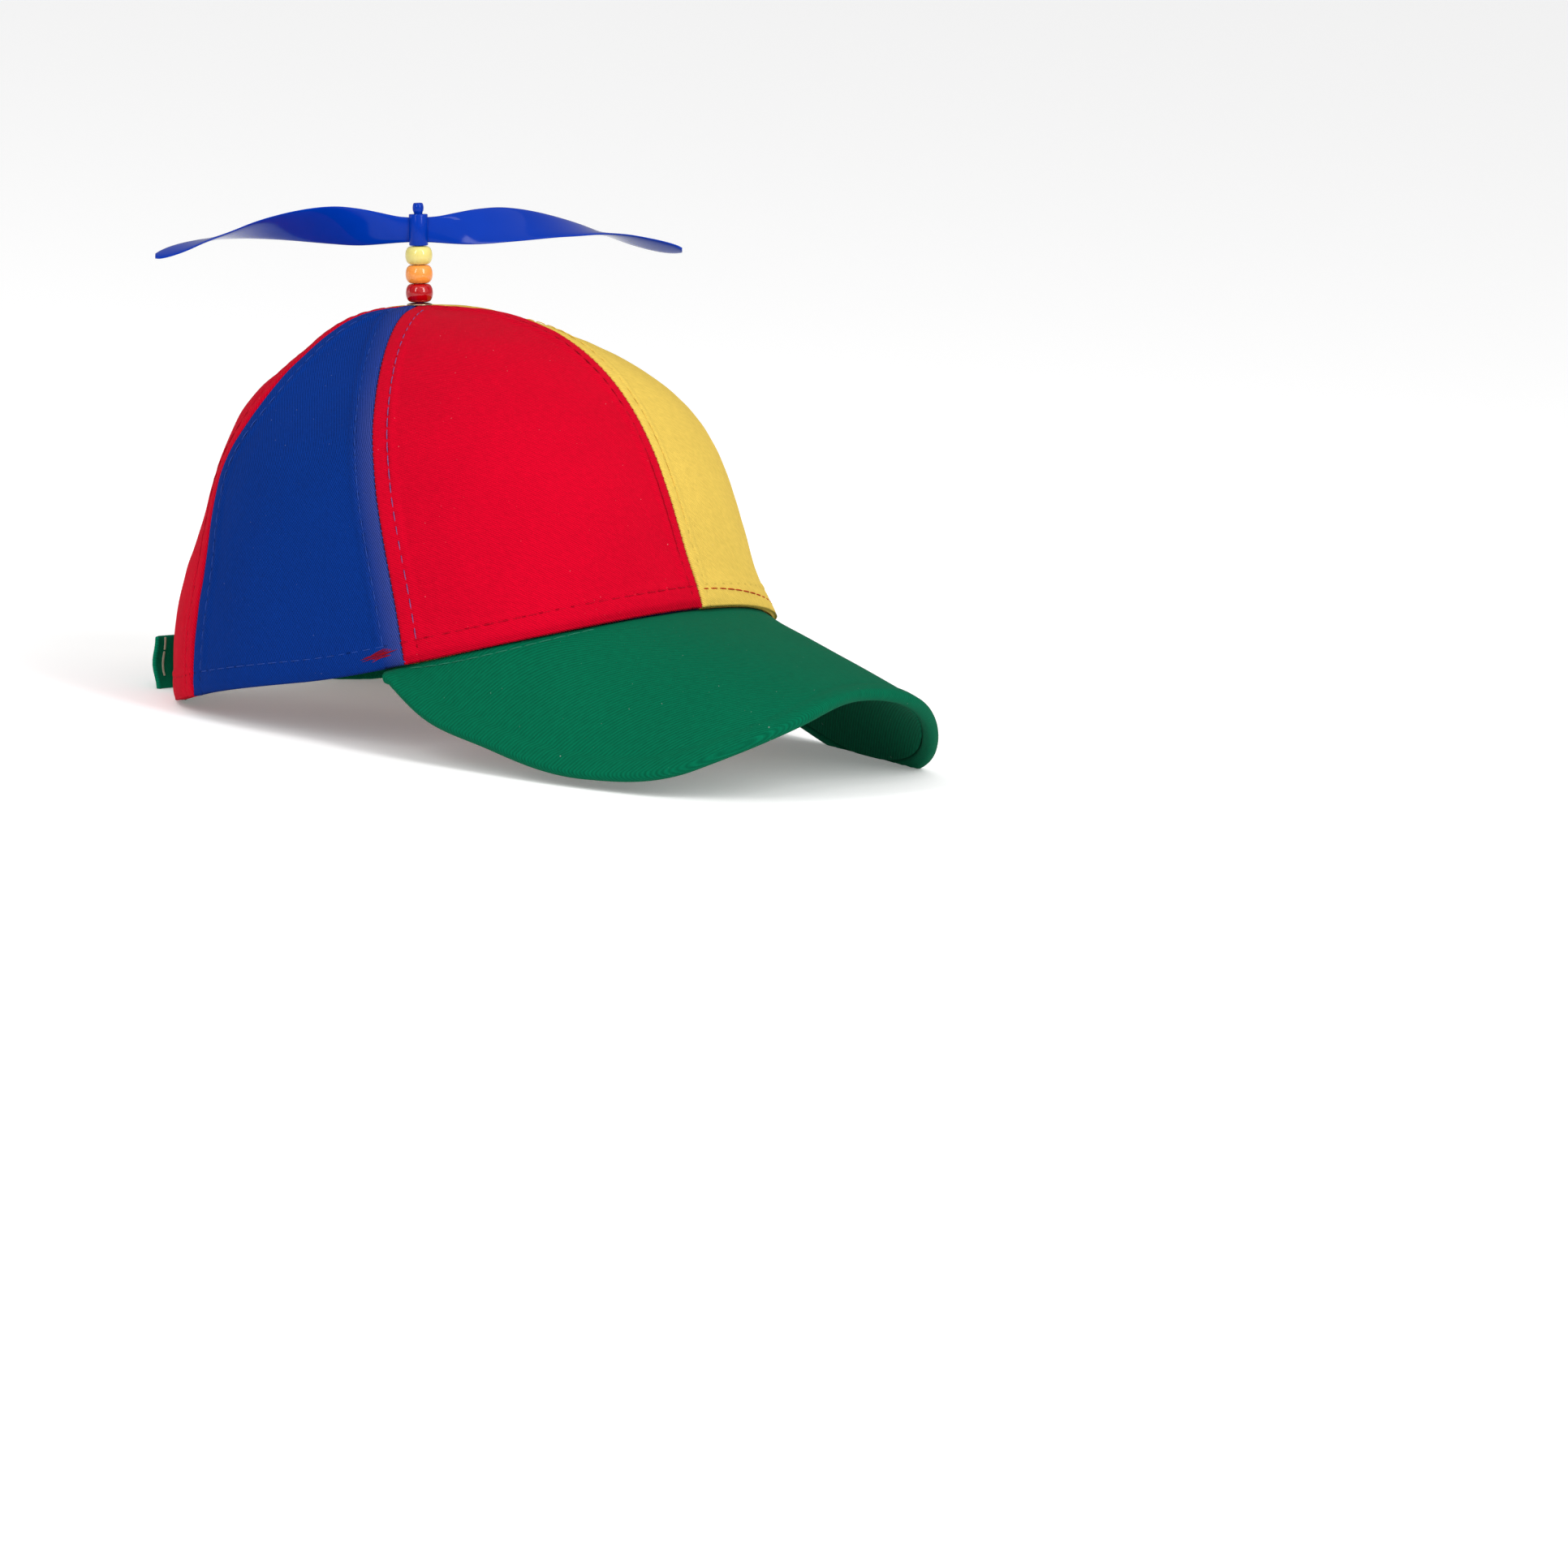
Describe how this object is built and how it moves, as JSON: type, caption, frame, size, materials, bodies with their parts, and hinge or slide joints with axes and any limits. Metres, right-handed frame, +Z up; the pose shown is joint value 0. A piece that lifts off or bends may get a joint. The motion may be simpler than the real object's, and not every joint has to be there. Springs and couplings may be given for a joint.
{
  "type": "propeller cap",
  "caption": "Cloth panelled cap with a stiff bent peak, a rear strap and a plastic propeller turning on a beaded stem through an eyelet at the crown.",
  "frame": {"origin": "middle of the cap's bounding box, on the surface that the cap rests on", "axes": "+Z up from that surface, -Y towards the front of the peak, +X towards the wearer's left"},
  "size_m": [0.1712, 0.269, 0.1696],
  "materials": {
    "cloth_red": "matt cotton twill",
    "cloth_blue": "matt cotton twill",
    "cloth_yellow": "matt cotton twill",
    "cloth_green": "matt cotton twill",
    "fastener": "hook and loop pile",
    "brass": "dull pressed sheet",
    "plastic_blue": "glossy moulded",
    "bead_red": "glossy moulded",
    "bead_orange": "glossy moulded",
    "bead_yellow": "glossy moulded"
  },
  "bodies": {
    "cap": {"panel_front_right": "cloth_red", "panel_front_left": "cloth_yellow", "panel_side_right": "cloth_blue", "panel_side_left": "cloth_blue", "panel_rear_right": "cloth_red", "panel_rear_left": "cloth_yellow", "peak": "cloth_green", "peak_lining": "cloth_green", "strap_right": "cloth_green", "strap_left": "cloth_green", "strap_fastener": "fastener", "eyelet": "brass", "stem": "plastic_blue", "bead_red": "bead_red", "bead_orange": "bead_orange", "bead_yellow": "bead_yellow"},
    "propeller": {"propeller": "plastic_blue"}
  },
  "joints": [
    {"name": "propeller_spin", "type": "hinge", "parent": "cap", "child": "propeller", "pos_m": [0, 0.06317, 0.16017], "axis": [0, 0.1113, 0.9938], "continuous": true}
  ]
}
